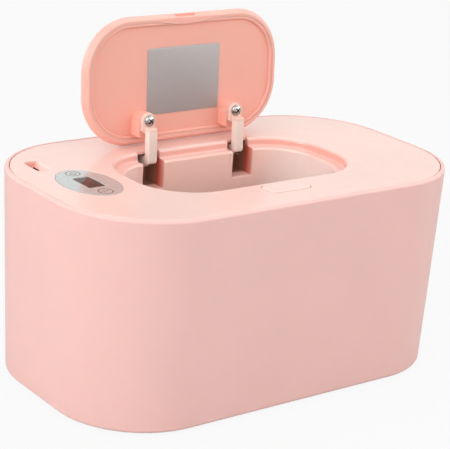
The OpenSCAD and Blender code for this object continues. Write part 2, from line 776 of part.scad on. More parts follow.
// Hinge: fixed steel pins, and torsion springs beside the arms
module hinge_pins() {
    color(steel) for (s = [0, 1])
        mirror([s, 0, 0]) translate([pin_in, hinge_y, hinge_z]) rotate([0, 90, 0])
            cylinder(r = pin_r, h = pin_out - pin_in);
}
coil_wire = 0.35;
coil_r = 2.3;
coil_turns = 4;
coil_gap = 0.12;
coil_from_arm = 0.9;
coil_leg = 5;
module lid_spring() {
    start = arm_x + arm_w / 2 + coil_from_arm;
    pitch = 2 * coil_wire + coil_gap;
    coil = [for (i = [0 : turn_steps * coil_turns])
        let (a = -90 + 360 * i / turn_steps)
        [start + pitch * i / turn_steps, hinge_y + coil_r * cos(a), hinge_z + coil_r * sin(a)]];
    last = coil[len(coil) - 1];
    tube(concat([coil[0] - [0, coil_leg, 0], coil[0] - [0, coil_leg / 2, 0]], coil,
        [last + [coil_gap, coil_leg / 4, 0], last + [2 * coil_gap, coil_leg / 2, 0]]),
        coil_wire, spring_sides, [1, 0, 0]);
}
module lid_springs() {
    color(steel) for (s = [0, 1]) mirror([s, 0, 0]) lid_spring();
}

// Lid, drawn closed and turned open about the hinge
module opened() {
    translate([0, hinge_y, hinge_z]) rotate([-lid_turn, 0, 0]) translate([0, -hinge_y, -hinge_z]) children();
}
lid_hx = recess_hx - lid_gap;
lid_hy = recess_hy - lid_gap;
lid_r = recess_r - lid_gap;
lid_side = 1.8;
lid_side_h = 2.5;
lid_edge_r = 3.3;
rim_face = 1.6;
rim_edge = 0.2;
roof_in = 8;
groove = 0.25;
bead = 1.7;
panel_depth = 1.6;
liner_t = 1.5;
module lid_profile() {
    polygon(concat([[-lid_side - rim_face, lid_rim_z], [-lid_side - rim_edge, lid_rim_z],
        [-lid_side + rim_edge / 2, lid_rim_z + rim_edge], [0, lid_rim_z + lid_side_h]],
        arc(-lid_edge_r, lid_top_z - lid_edge_r, lid_edge_r, 0, 90, 6),
        [[-roof_in, lid_top_z], [-roof_in, lid_top_z - lid_t], [-lid_side - rim_face, lid_top_z - lid_t]]));
}
// Thicker stretch of rim behind the latch, with a curved inner edge
nose_reach = 1.8;
lip_half = 18;
lip_in = 1.9;
module lip_shape(grow) {
    inner = lid_hy - lid_side - rim_face;
    radius = (lip_half * lip_half + lip_in * lip_in) / (2 * lip_in);
    translate([0, recess_y]) intersection() {
        translate([-lip_half - grow, -inner - over]) square([2 * (lip_half + grow), lip_in + grow + 2 * over]);
        translate([0, -inner + lip_in + grow - radius]) circle(r = radius, $fn = 200);
    }
}
module lid_shell() {
    color(pink) opened() difference() {
        union() {
            translate([0, recess_y, 0]) sweep_round(lid_hx, lid_hy, lid_r) lid_profile();
            translate([0, recess_y, lid_top_z - lid_t]) linear_extrude(lid_t)
                outline(lid_hx - roof_in + over, lid_hy - roof_in + over, lid_r - roof_in + over);
            translate([0, 0, lid_rim_z]) linear_extrude(lid_h - lid_t + join) lip_shape(0);
        }
        translate([-nose_x - nose_gap, recess_y - lid_hy - over, nose_low - nose_play])
            cube([2 * (nose_x + nose_gap), nose_reach + 2 * nose_play + over, nose_t + 3 * nose_play]);
    }
}
liner_edge = lid_side + rim_face + groove;
panel_z = lid_rim_z + panel_depth;
liner_in = bead + 4;
module liner_profile() {
    low = lid_rim_z + lid_lift / 3;
    polygon(concat([[0, panel_z + liner_t], [0, low + bead / 2]],
        arc(-bead / 2, low + bead / 2, bead / 2, 0, -180, 6),
        [[-bead, panel_z], [-liner_in, panel_z], [-liner_in, panel_z + liner_t]]));
}
lip_gap = 0.2;
boss_front = 5;
boss_back = 14.5;
boss_hx = 4.6;
boss_corner = 1.5;
screw_boss_r = 4.1;
arm_pilot_r = 1;
pad_drop = 6;
pad_low = hinge_z - pad_drop;
arm_pad_t = 2.5;
arm_pad_z = pad_low + arm_pad_t;
boss_h = panel_z - arm_pad_z + join;
lid_back = recess_y + lid_hy;
screw_in = 14.6;
screw_y = lid_back - screw_in;
arm_screw_l = 5;
module lid_liner() {
    hx = lid_hx - liner_edge;
    hy = lid_hy - liner_edge;
    r = lid_r - liner_edge;
    color(salmon) opened() difference() {
        union() {
            translate([0, recess_y, 0]) sweep_round(hx, hy, r) liner_profile();
            translate([0, recess_y, panel_z]) linear_extrude(liner_t)
                outline(hx - liner_in + over, hy - liner_in + over, r - liner_in + over);
            for (s = [-1, 1]) {
                translate([s * arm_x, lid_back - (boss_front + boss_back) / 2, arm_pad_z])
                    linear_extrude(boss_h) outline(boss_hx, (boss_back - boss_front) / 2, boss_corner);
                translate([s * arm_x, screw_y, arm_pad_z]) cylinder(r = screw_boss_r, h = boss_h);
            }
        }
        translate([0, 0, lid_rim_z - over]) linear_extrude(2 * lid_h) lip_shape(lip_gap);
        for (s = [-1, 1])
            translate([s * arm_x, screw_y, arm_pad_z - over]) cylinder(r = arm_pilot_r, h = arm_screw_l + over);
    }
}
label_l = 46;
label_w = 35;
label_t = 0.3;
label_r = 1.5;
label_in = 15;
module lid_plate() {
    color([0.75, 0.73, 0.72]) opened()
        translate([0, lid_back - label_in - label_w / 2, panel_z - label_t])
            linear_extrude(label_t) outline(label_l / 2, label_w / 2, label_r);
}

// Gooseneck arm: knuckle on the pin, link down, bar forward and pad under the lid's boss
knuckle_r = 3.5;
pin_play = 0.05;
bar_low = hinge_z - 10;
bar_t = 4;
bar_top = bar_low + bar_t;
bar_bend_r = 2;
bar_edge = 0.5;
link_t = 3.8;
link_out = 0.3;
link_in = hinge_y + link_out - link_t;
bar_front = screw_y + 3.4;
arm_pad_r = 4;
arm_hole_r = 1.6;
module hinge_arm(side) {
    color(nylon) opened() translate([side * arm_x, 0, 0]) difference() {
        union() {
            translate([-arm_w / 2, hinge_y, hinge_z]) rotate([0, 90, 0]) cylinder(r = knuckle_r, h = arm_w);
            translate([-arm_w / 2, 0, 0]) rotate([90, 0, 90]) linear_extrude(arm_w)
                polygon(concat([[link_in, hinge_z], [link_in, bar_top + 2 * bar_edge],
                    [link_in - 2 * bar_edge, bar_top], [bar_front, bar_top],
                    [bar_front, bar_low + bar_edge], [bar_front + bar_edge, bar_low]],
                    arc(hinge_y + link_out - bar_bend_r, bar_low + bar_bend_r, bar_bend_r, -90, 0, 4),
                    [[hinge_y + link_out, hinge_z]]));
            translate([0, screw_y, pad_low]) cylinder(r = arm_pad_r, h = arm_pad_t);
            translate([-arm_w / 2, screw_y, pad_low]) cube([arm_w, bar_front - screw_y + 3, arm_pad_t]);
            translate([-arm_pad_r, screw_y, pad_low]) cube([2 * arm_pad_r, bar_front - screw_y + 2, arm_pad_t]);
        }
        translate([-arm_w, hinge_y, hinge_z]) rotate([0, 90, 0]) cylinder(r = pin_r + pin_play, h = 2 * arm_w);
        translate([0, screw_y, pad_low - over]) cylinder(r = arm_hole_r, h = arm_pad_t + 2 * over);
    }
}
module hinge_arm_left() { hinge_arm(-1); }
module hinge_arm_right() { hinge_arm(1); }
arm_head_r = 2.9;
arm_head_h = 2;
arm_head_dome = 3.7;
arm_cross_l = 3.4;
module arm_screws() {
    color([0.85, 0.85, 0.87]) opened() for (s = [-1, 1]) translate([s * arm_x, screw_y, pad_low]) {
        cylinder(r = arm_pilot_r, h = arm_pad_t + arm_screw_l);
        difference() {
            intersection() {
                translate([0, 0, -arm_head_h]) cylinder(r = arm_head_r, h = arm_head_h);
                translate([0, 0, arm_head_dome - arm_head_h - join / 2]) sphere(r = arm_head_dome);
            }
            for (a = [45, 135]) rotate(a)
                translate([-arm_cross_l / 2, -cross_w / 2, -arm_head_h - over])
                    cube([arm_cross_l, cross_w, cross_d + over + join]);
        }
    }
}

// Release button: pad, ears under the cover and a wedge that drives the latch
pad_top = rim_z + 0.8;
pad_under = rim_z - 1.2;
pad_edge_r = 1;
pad_rim = 2.5;
ear_t = 1.5;
ear_l = 3.1;
ear_w = 6;
ear_h = 1.4;
ear_low = skin_z - join - ear_h;
wedge_x = 5;
wedge_gap = 0.1;
wedge_play = 0.4;
wedge_ramp = 2.25;
wedge_w = 5.4;
wedge_front = -button_y - 3.4;
wedge_back = wedge_front + wedge_w;
wedge_low = keeper_top + 1.3;
slider_low = keeper_top + 0.3;
slider_t = 3.2;
module pad_profile() {
    polygon(concat([[0, pad_under]], arc(-pad_edge_r, pad_top - pad_edge_r, pad_edge_r, 0, 90, 4),
        [[-pad_rim, pad_top], [-pad_rim, pad_under]]));
}
module release_button() {
    color(pale_pink) {
        translate([0, -button_y, 0]) {
            sweep_round(button_l / 2, button_w / 2, button_r) pad_profile();
            translate([0, 0, pad_under]) linear_extrude(pad_top - pad_under)
                outline(button_l / 2 - pad_rim + join, button_w / 2 - pad_rim + join, button_r - pad_rim + join);
        }
        for (s = [0, 1]) mirror([s, 0, 0]) translate([button_l / 2 - ear_t, -button_y - ear_w / 2, ear_low]) {
            cube([ear_t, ear_w, pad_under - ear_low + join]);
            cube([ear_l, ear_w, ear_h]);
        }
        translate([-wedge_x, 0, 0]) rotate([90, 0, 90]) linear_extrude(2 * wedge_x)
            polygon([[wedge_front, pad_under + join], [wedge_front, wedge_low + wedge_ramp],
                     [wedge_front + wedge_ramp, wedge_low], [wedge_back, wedge_low],
                     [wedge_back, pad_under + join]]);
    }
}

// Latch: a slider under the button whose nose holds the lid's rim, in a screwed keeper
slider_hx = 8.5;
slider_gap = 0.3;
slider_front = -button_y - 8;
riser_back = recess_y - recess_hy - wall_t - slider_gap;
riser_t = 2.2;
nose_tip = recess_y - lid_hy + nose_reach;
// The ramp lies one gap in front of the wedge, on a 45 degree plane
ramp_c = wedge_front + wedge_low + wedge_ramp - wedge_gap * sqrt(2);
module latch_slider() {
    top = slider_low + slider_t + over;
    low = slider_low - over;
    back = wedge_back + button_travel + 0.5;
    color([0.95, 0.95, 0.93]) {
        difference() {
            translate([-slider_hx, slider_front, slider_low])
                cube([2 * slider_hx, riser_back - slider_front, slider_t]);
            translate([-wedge_x - wedge_play, 0, 0]) rotate([90, 0, 90])
                linear_extrude(2 * (wedge_x + wedge_play))
                    polygon([[ramp_c - top, top], [ramp_c - low, low], [back, low], [back, top]]);
        }
        translate([-nose_x, riser_back - riser_t, slider_low])
            cube([2 * nose_x, riser_t, nose_top - slider_low]);
        translate([-nose_x, riser_back - riser_t, nose_low])
            cube([2 * nose_x, nose_tip - riser_back + riser_t, nose_t]);
    }
}
keeper_front = -cover_hy + skirt_in + wall_t + 1;
keeper_end = 3.5;
stop_hx = 6;
stop_t = 1.5;
stop_h = 4.5;
rail_t = 1.5;
rail_h = slider_t + 0.4;
module latch_keeper() {
    low = keeper_top - keeper_t;
    keeper_l = riser_back - keeper_front;
    color([0.94, 0.94, 0.93]) difference() {
        union() {
            translate([-keeper_x - keeper_end, keeper_front, low])
                cube([2 * (keeper_x + keeper_end), keeper_l, keeper_t]);
            translate([-stop_hx, keeper_front, low]) cube([2 * stop_hx, stop_t, keeper_t + stop_h]);
            for (s = [0, 1]) mirror([s, 0, 0])
                translate([slider_hx + slider_gap, keeper_front, low]) cube([rail_t, keeper_l, keeper_t + rail_h]);
        }
        for (s = [-1, 1]) translate([s * keeper_x, keeper_y, low - over])
            cylinder(r = screw_hole_r, h = keeper_t + 2 * over);
    }
}
keeper_screw_l = 5;
module keeper_screws() {
    color(steel) for (s = [-1, 1])
        screw_up(s * keeper_x, keeper_y, keeper_top - keeper_t, head_r, head_h, pilot_r, keeper_t + keeper_screw_l);
}
latch_wire = 0.25;
latch_coil_r = 1.35;
latch_turns = 6;
latch_gap = 0.1;
module latch_spring() {
    from = keeper_front + stop_t + latch_wire + latch_gap;
    to = slider_front - latch_wire - latch_gap;
    steps = turn_steps * latch_turns;
    color(steel) translate([0, from, slider_low + slider_t / 2])
        tube([for (i = [0 : steps]) let (a = 360 * i / turn_steps)
            [latch_coil_r * cos(a), (to - from) * i / steps, latch_coil_r * sin(a)]],
            latch_wire, spring_sides, [0, 1, 0]);
}

outer_shell();
rubber_feet();
inner_tank();
foam_pad();
top_cover();
cover_tray();
heater_film();
heater_plate();
tray_screws();
cover_gasket();
thermostat();
temperature_sensor();
control_board();
board_components();
board_screws();
display_module();
display_window();
control_panel();
touch_springs();
dc_jack();
power_lead();
heater_lead();
hinge_pins();
lid_springs();
lid_shell();
lid_liner();
lid_plate();
hinge_arm_left();
hinge_arm_right();
arm_screws();
release_button();
latch_slider();
latch_spring();
latch_keeper();
keeper_screws();
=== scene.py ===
"""Looks of the baby wipe warmer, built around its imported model. Metres, in the model's frame."""

import json
import math

import bmesh
import bpy
import numpy as np
from mathutils import Matrix, Vector


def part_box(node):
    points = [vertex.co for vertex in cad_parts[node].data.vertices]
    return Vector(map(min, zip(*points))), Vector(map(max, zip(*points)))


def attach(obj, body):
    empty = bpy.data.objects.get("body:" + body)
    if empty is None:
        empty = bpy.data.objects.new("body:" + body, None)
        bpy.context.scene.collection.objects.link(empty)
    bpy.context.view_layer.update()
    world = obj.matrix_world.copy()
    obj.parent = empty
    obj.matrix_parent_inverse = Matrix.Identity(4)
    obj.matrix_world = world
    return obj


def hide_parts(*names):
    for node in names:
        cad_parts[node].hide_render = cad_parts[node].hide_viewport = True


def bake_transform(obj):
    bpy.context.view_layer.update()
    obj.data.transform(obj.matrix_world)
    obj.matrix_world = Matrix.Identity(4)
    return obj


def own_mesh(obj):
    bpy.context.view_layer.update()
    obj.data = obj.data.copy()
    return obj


MM = 0.001
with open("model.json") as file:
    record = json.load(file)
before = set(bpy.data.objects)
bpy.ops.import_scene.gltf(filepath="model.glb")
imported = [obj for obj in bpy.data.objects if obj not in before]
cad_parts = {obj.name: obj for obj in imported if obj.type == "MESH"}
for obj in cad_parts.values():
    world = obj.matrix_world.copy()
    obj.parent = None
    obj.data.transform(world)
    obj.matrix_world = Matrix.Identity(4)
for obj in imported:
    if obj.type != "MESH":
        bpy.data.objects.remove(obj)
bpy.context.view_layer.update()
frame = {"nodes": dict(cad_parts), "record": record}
nodes = frame["nodes"]
scene = bpy.context.scene
slots = {part["node"]: part["material_slot"] for part in frame["record"]["subparts"]}

# Camera, solved from the photograph's edges
CAMERA_AT = Vector((-496.23, -639.70, 350.10)) * MM
CAMERA_TO = Vector((-1.14, 0.0, 75.50)) * MM
CAMERA_LENS = 131.54
CAMERA_ROLL = math.radians(4.167)


def make_camera():
    data = bpy.data.cameras.new("camera")
    data.lens = CAMERA_LENS
    data.sensor_width = 36.0
    data.clip_start, data.clip_end = 0.01, 20.0
    camera = bpy.data.objects.new("camera", data)
    scene.collection.objects.link(camera)
    forward = (CAMERA_TO - CAMERA_AT).normalized()
    right = forward.cross(Vector((0, 0, 1))).normalized()
    up = right.cross(forward)
    c, s = math.cos(CAMERA_ROLL), math.sin(CAMERA_ROLL)
    turned = Matrix((right * c + up * s, up * c - right * s, -forward)).transposed()
    camera.matrix_world = Matrix.Translation(CAMERA_AT) @ turned.to_4x4()
    scene.camera = camera


# Materials


class Nodes:
    """A material's node tree, with short ways to add to it."""

    def __init__(self, name):
        self.material = bpy.data.materials.new(name)
        self.material.use_nodes = True
        self.tree = self.material.node_tree
        self.shader = self.tree.nodes["Principled BSDF"]
        self.place = self.add("ShaderNodeTexCoord").outputs["Object"]

    def add(self, kind, **values):
        node = self.tree.nodes.new(kind)
        for key, value in values.items():
            setattr(node, key, value)
        return node

    def link(self, a, b):
        self.tree.links.new(a, b)

    def math(self, operation, a, b=None):
        node = self.add("ShaderNodeMath", operation=operation)
        self.link(a, node.inputs[0])
        if hasattr(b, "is_linked"):
            self.link(b, node.inputs[1])
        elif b is not None:
            node.inputs[1].default_value = b
        return node.outputs[0]

    def axes(self):
        """X, Y and Z of the place on the object, in metres."""
        node = self.add("ShaderNodeSeparateXYZ")
        self.link(self.place, node.inputs[0])
        return node.outputs[0], node.outputs[1], node.outputs[2]

    def noise(self, scale, detail=2.0, roughness=0.5, place=None):
        node = self.add("ShaderNodeTexNoise")
        node.inputs["Scale"].default_value = scale
        node.inputs["Detail"].default_value = detail
        node.inputs["Roughness"].default_value = roughness
        self.link(place or self.place, node.inputs["Vector"])
        return node.outputs["Fac"]

    def ramp(self, value, low, high, out_low, out_high):
        node = self.add("ShaderNodeMapRange")
        keys = ("From Min", "From Max", "To Min", "To Max")
        for key, number in zip(keys, (low, high, out_low, out_high)):
            node.inputs[key].default_value = number
        self.link(value, node.inputs["Value"])
        return node.outputs["Result"]

    def fade(self, value, none, full):
        """0 at the first distance and 1 at the second, both in millimetres."""
        return self.ramp(value, none * MM, full * MM, 0.0, 1.0)

    def apart(self, value, middle):
        """Distance from a middle that is given in millimetres."""
        return self.math("ABSOLUTE", self.math("SUBTRACT", value, middle * MM))

    def both(self, a, b):
        return self.math("MULTIPLY", a, b)

    def mix(self, value, a, b):
        node = self.add("ShaderNodeMix", data_type="RGBA")
        self.link(value, node.inputs["Factor"])
        for key, colour in (("A", a), ("B", b)):
            socket = [i for i in node.inputs if i.name == key and i.type == "RGBA"][0]
            if hasattr(colour, "is_linked"):
                self.link(colour, socket)
            else:
                socket.default_value = (*colour, 1.0)
        return [o for o in node.outputs if o.type == "RGBA"][0]

    def bump(self, height, strength, distance, normal=None):
        node = self.add("ShaderNodeBump")
        node.inputs["Strength"].default_value = strength
        node.inputs["Distance"].default_value = distance
        self.link(height, node.inputs["Height"])
        if normal is not None:
            self.link(normal, node.inputs["Normal"])
        self.link(node.outputs["Normal"], self.shader.inputs["Normal"])
        return node.outputs["Normal"]

    def rounded(self, radius):
        node = self.add("ShaderNodeBevel", samples=4)
        node.inputs["Radius"].default_value = radius
        return node.outputs["Normal"]


# Places on the model that the colours and the pieces follow, in millimetres
RIM_Z = 109.3
LEDGE_Z = 104.7
WELL_BACK = 27.7
POCKET_X = 28.9
SLIT = (-93.2, 38.1)
HINGE = Vector((0.0, 40.0, 102.4))
OPEN_ANGLE = math.radians(-93.3)
HEAD_R = 2.9
HEAD_DOME = 3.7

# Height of a fine grain, in metres
FINE = 0.00002


def shade(colour, factor):
    return tuple(min(1.0, c * factor) for c in colour)


def moulded(name, colour, rough=0.36, grain=0.35, edge=0.25, glow=0.0, tint=None, ior=1.5):
    """Injection-moulded plastic: faint flow mottling, a fine spark-eroded grain and softened edges.

    Edge is the radius of the softened edges in millimetres, and glow the share of light that passes inside.
    """
    m = Nodes(name)
    flow = m.ramp(m.noise(26.0, 3.0), 0.3, 0.7, 0.0, 1.0)
    base = m.mix(flow, shade(colour, 0.985), shade(colour, 1.015))
    m.link(tint(m, base) if tint else base, m.shader.inputs["Base Color"])
    m.link(m.ramp(m.noise(180.0, 4.0), 0.3, 0.7, rough - 0.03, rough + 0.04), m.shader.inputs["Roughness"])
    m.shader.inputs["IOR"].default_value = ior
    if glow:
        m.shader.inputs["Subsurface Weight"].default_value = glow
        m.shader.inputs["Subsurface Radius"].default_value = (1.0, 0.35, 0.25)
        m.shader.inputs["Subsurface Scale"].default_value = 2.5 * MM
    m.bump(m.noise(2600.0, 2.0), grain, FINE, m.rounded(edge * MM))
    return m.material


def cover_painted_light(m, base):
    """Painted light and shade on the cover by place: the colour deepens down the recess as painted shade, the
    well walls are painted lighter and redder with a painted highlight towards the ends, the hinge pockets are
    painted red at the sides as glow in shade and dark at the back as painted shade, and the slit is painted
    dark.
    """
    x, y, z = m.axes()
    facing = m.add("ShaderNodeSeparateXYZ")
    m.link(m.add("ShaderNodeNewGeometry").outputs["Normal"], facing.inputs[0])
    # Painted shade: below the rim the recess walls take a darker, redder pink, the more so the more they face
    # sideways.
    wall_shade_share = m.ramp(facing.outputs[2], 0.3, 0.97, 1.0, 0.35)
    recess = m.mix(m.both(m.fade(z, RIM_Z - 0.2, RIM_Z - 1.3), wall_shade_share), base, RECESS_PAINTED_SHADE)
    # Painted light: below the ledge the well walls are lighter and redder than the top, and lighter still
    # towards both ends as a painted highlight.
    ends = m.mix(m.fade(m.apart(x, 0.0), 38.0, 56.0), WELL_PAINTED_LIGHT, WELL_END_PAINTED_HIGHLIGHT)
    deep = m.mix(m.fade(z, LEDGE_Z - 0.1, LEDGE_Z - 0.7), recess, ends)
    off = m.apart(m.apart(x, 0.0), POCKET_X)
    aside = m.both(m.fade(off, 6.2, 6.7), m.fade(off, 7.0, 6.9))
    pocket = m.both(m.fade(y, WELL_BACK + 0.2, WELL_BACK + 1.0), m.fade(z, 106.0, 104.5))
    # Painted shade with a painted red glow: the pockets' side walls go from a lit pink at the well to a deep
    # red further in.
    red = m.mix(m.fade(y, WELL_BACK + 0.6, WELL_BACK + 5.8), POCKET_EDGE_PAINTED_LIGHT, POCKET_PAINTED_RED_SHADE)
    sides = m.mix(m.both(pocket, aside), deep, red)
    # Painted shade: the hinge cavity behind the pockets, under the top skin, is coloured dark brown.
    hollow_shade_mask = m.both(m.fade(y, 34.6, 35.6), m.fade(z, 107.4, 107.0))
    with_hollow_shade = m.mix(m.both(hollow_shade_mask, m.fade(off, 7.2, 7.0)), sides, POCKET_PAINTED_SHADE)
    # Painted shade: the walls of the slit in the finger notch are coloured nearly black.
    slit_shade_mask = m.both(m.fade(m.apart(x, SLIT[0]), 0.56, 0.53), m.fade(m.apart(y, SLIT[1]), 3.06, 3.03))
    return m.mix(m.both(slit_shade_mask, m.fade(z, 106.6, 106.2)), with_hollow_shade, SLIT_PAINTED_SHADE)


def pad_tint(m, base):
    """The thin pad round each arm screw takes on the salmon of the boss behind it."""
    low, high = box_mm("arm_screws")
    middle = (low.z + high.z) / 2
    return m.mix(m.fade(m.axes()[2], middle - 5.5, middle - 4.5), base, PAD_PINK)


def cross_painted_shade(m, base):
    """Painted shade: the cross recess of each arm screw is coloured dark, below the dome of its head."""
    low, high = box_mm("arm_screws")
    x, y, z = m.axes()
    dx = m.math("SUBTRACT", m.math("ABSOLUTE", x), (high.x - HEAD_R) * MM)
    dy = m.math("SUBTRACT", y, (low.y + HEAD_DOME) * MM)
    dz = m.math("SUBTRACT", z, (low.z + high.z) / 2 * MM)
    across = m.math("ADD", m.both(dx, dx), m.both(dz, dz))
    away = m.math("SQRT", m.math("ADD", across, m.both(dy, dy)))
    sunk_shade_mask = m.fade(away, HEAD_DOME - 0.15, HEAD_DOME - 0.5)
    inner = m.fade(m.math("SQRT", across), 2.0, 1.9)
    # Painted shade inside the cross recess.
    return m.mix(m.both(sunk_shade_mask, inner), base, (0.012, 0.01, 0.01))


def metal(name, colour, rough=0.3, brushed=False, metallic=1.0, tint=None):
    """Metal, brushed along X where brushed is true."""
    m = Nodes(name)
    m.shader.inputs["Metallic"].default_value = metallic
    place = m.place
    if brushed:
        stretch = m.add("ShaderNodeMapping")
        stretch.inputs["Scale"].default_value = (0.04, 1.0, 1.0)
        m.link(m.place, stretch.inputs["Vector"])
        place = stretch.outputs["Vector"]
    grain = m.noise(2400.0, 3.0, place=place)
    base = m.mix(grain, shade(colour, 0.9), shade(colour, 1.06))
    m.link(tint(m, base) if tint else base, m.shader.inputs["Base Color"])
    m.link(m.ramp(grain, 0.3, 0.7, rough - 0.08, rough + 0.08), m.shader.inputs["Roughness"])
    m.bump(grain, 0.15, FINE, m.rounded(0.1 * MM))
    return m.material


def rubber(name, colour, rough=0.75):
    """Rubber or silicone with a little dust."""
    m = Nodes(name)
    dust = m.ramp(m.noise(320.0, 4.0), 0.35, 0.75, 0.0, 1.0)
    m.link(m.mix(dust, colour, shade(colour, 1.25)), m.shader.inputs["Base Color"])
    m.link(m.ramp(m.noise(900.0, 2.0), 0.3, 0.7, rough - 0.08, rough + 0.08), m.shader.inputs["Roughness"])
    m.bump(m.noise(1800.0, 3.0), 0.5, 0.00005)
    return m.material


def foam(name, colour):
    """Open foam cells."""
    m = Nodes(name)
    cells = m.add("ShaderNodeTexVoronoi")
    cells.inputs["Scale"].default_value = 900.0
    m.link(m.place, cells.inputs["Vector"])
    m.link(m.mix(cells.outputs["Distance"], shade(colour, 0.85), colour), m.shader.inputs["Base Color"])
    m.shader.inputs["Roughness"].default_value = 0.9
    m.bump(cells.outputs["Distance"], 0.8, 0.0003)
    return m.material


def film(name, colour):
    """Heating film: polyimide with its etched track showing through."""
    m = Nodes(name)
    wave = m.add("ShaderNodeTexWave", wave_type="BANDS", bands_direction="Y")
    wave.inputs["Scale"].default_value = 45.0
    m.link(m.place, wave.inputs["Vector"])
    track = m.ramp(wave.outputs["Fac"], 0.45, 0.6, 0.0, 1.0)
    m.link(m.mix(track, colour, shade(colour, 0.55)), m.shader.inputs["Base Color"])
    m.shader.inputs["Roughness"].default_value = 0.3
    m.bump(track, 0.4, 0.00005)
    return m.material


def board(name, colour):
    """Solder mask over its tracks."""
    m = Nodes(name)
    tracks = m.add("ShaderNodeTexBrick")
    tracks.inputs["Scale"].default_value = 160.0
    tracks.inputs["Color1"].default_value = (*colour, 1)
    tracks.inputs["Color2"].default_value = (*shade(colour, 1.15), 1)
    tracks.inputs["Mortar"].default_value = (*shade(colour, 1.9), 1)
    m.link(m.place, tracks.inputs["Vector"])
    m.link(tracks.outputs["Color"], m.shader.inputs["Base Color"])
    m.shader.inputs["Roughness"].default_value = 0.35
    m.bump(tracks.outputs["Fac"], 0.3, 0.00003)
    return m.material


def ink(name, colour):
    """Printed line, a little uneven."""
    m = Nodes(name)
    worn = m.ramp(m.noise(900.0, 3.0), 0.35, 0.7, 0.0, 1.0)
    m.link(m.mix(worn, colour, shade(colour, 1.5)), m.shader.inputs["Base Color"])
    m.shader.inputs["Roughness"].default_value = 0.45
    m.shader.inputs["Specular IOR Level"].default_value = 0.2
    m.shader.inputs["Coat Weight"].default_value = 1.0
    m.shader.inputs["Coat IOR"].default_value = 1.7
    m.shader.inputs["Coat Roughness"].default_value = 0.03
    return m.material


def glitter(name, colour):
    """Silver print with fine flakes under a clear, glossy face."""
    m = Nodes(name)
    flakes = m.add("ShaderNodeTexVoronoi")
    flakes.inputs["Scale"].default_value = 1500.0
    m.link(m.place, flakes.inputs["Vector"])
    tint = m.ramp(m.noise(700.0, 5.0, 0.7), 0.35, 0.65, 0.0, 1.0)
    m.link(m.mix(tint, shade(colour, 0.96), shade(colour, 1.035)), m.shader.inputs["Base Color"])
    m.shader.inputs["Metallic"].default_value = 0.35
    m.link(m.ramp(flakes.outputs["Distance"], 0.0, 0.6, 0.22, 0.32), m.shader.inputs["Roughness"])
    m.shader.inputs["Coat Weight"].default_value = 1.0
    m.shader.inputs["Coat IOR"].default_value = 1.85
    m.shader.inputs["Coat Roughness"].default_value = 0.02
    m.bump(flakes.outputs["Distance"], 0.08, 0.00003)
    return m.material


def tinted(name, colour):
    """Dark red display window, polished."""
    m = Nodes(name)
    depth = m.ramp(m.noise(240.0, 2.0), 0.3, 0.7, 0.0, 1.0)
    m.link(m.mix(depth, shade(colour, 0.8), shade(colour, 1.2)), m.shader.inputs["Base Color"])
    m.shader.inputs["Roughness"].default_value = 0.12
    m.shader.inputs["Specular IOR Level"].default_value = 0.0
    m.shader.inputs["Coat Weight"].default_value = 0.85
    m.shader.inputs["Coat Roughness"].default_value = 0.03
    return m.material


SHELL_PINK = (0.90, 0.565, 0.52)
COVER_PINK = (0.90, 0.635, 0.57)
LID_PINK = (0.97, 0.50, 0.42)
LINER_SALMON = (1.0, 0.475, 0.385)
# The next seven are colours of painted light and shade on the cover's recess, well, hinge pockets and slit.
WELL_PAINTED_LIGHT = (1.0, 0.635, 0.555)
WELL_END_PAINTED_HIGHLIGHT = (1.0, 0.78, 0.72)
RECESS_PAINTED_SHADE = (0.89, 0.47, 0.40)
POCKET_EDGE_PAINTED_LIGHT = (0.95, 0.42, 0.34)
POCKET_PAINTED_RED_SHADE = (0.62, 0.13, 0.08)
POCKET_PAINTED_SHADE = (0.40, 0.22, 0.15)
SLIT_PAINTED_SHADE = (0.05, 0.025, 0.02)
PAD_PINK = (0.92, 0.62, 0.53)


def cover_plastic(name):
    # Its tint paints light and shade onto the recess, well, hinge pockets and slit.
    return moulded(name, COVER_PINK, 0.22, 0.12, 0.6, glow=0.2, tint=cover_painted_light, ior=1.7)


def nylon(name):
    return moulded(name, (0.90, 0.76, 0.68), 0.42, 0.6, 0.1, glow=0.3, tint=pad_tint)


MATERIALS = {
    "shell_pink": lambda n: moulded(n, SHELL_PINK, 0.38, glow=0.3),
    "cover_pink": cover_plastic,
    "lid_pink": lambda n: moulded(n, LID_PINK, 0.34, glow=0.4),
    "liner_salmon": lambda n: moulded(n, LINER_SALMON, 0.34, glow=0.4),
    "tank_white": lambda n: moulded(n, (0.80, 0.80, 0.78), 0.45),
    "nylon_white": nylon,
    "black_plastic": lambda n: moulded(n, (0.03, 0.03, 0.034), 0.45),
    "foam": lambda n: foam(n, (0.66, 0.66, 0.63)),
    "rubber_dark": lambda n: rubber(n, (0.035, 0.034, 0.034)),
    "silicone": lambda n: rubber(n, (0.68, 0.67, 0.65), 0.55),
    "film_orange": lambda n: film(n, (0.55, 0.17, 0.04)),
    "aluminium_plate": lambda n: metal(n, (0.78, 0.79, 0.80), 0.35, True),
    "board_green": lambda n: board(n, (0.012, 0.075, 0.025)),
    "window_red": lambda n: tinted(n, (0.035, 0.006, 0.006)),
    "panel_silver": lambda n: glitter(n, (0.41, 0.465, 0.46)),
    "label_silver": lambda n: metal(n, (0.43, 0.405, 0.40), 0.5, True, 0.35),
    "lead_white": lambda n: rubber(n, (0.72, 0.71, 0.69), 0.5),
    "screw_steel": lambda n: metal(n, (0.62, 0.62, 0.63), 0.3),
    "spring_steel": lambda n: metal(n, (0.45, 0.45, 0.47), 0.28),
    "screw_chrome": lambda n: metal(n, (0.42, 0.41, 0.40), 0.13, tint=cross_painted_shade),
}
materials = {}


def material(slot):
    if slot not in materials:
        materials[slot] = MATERIALS[slot](slot)
    return materials[slot]


def dress(obj, slot):
    obj.data.materials.clear()
    obj.data.materials.append(material(slot))


# Shading of the frame's own meshes: flat faces stay flat and round ones turn smoothly

SHARP = math.radians(33.0)
COPLANAR = math.cos(math.radians(0.4))


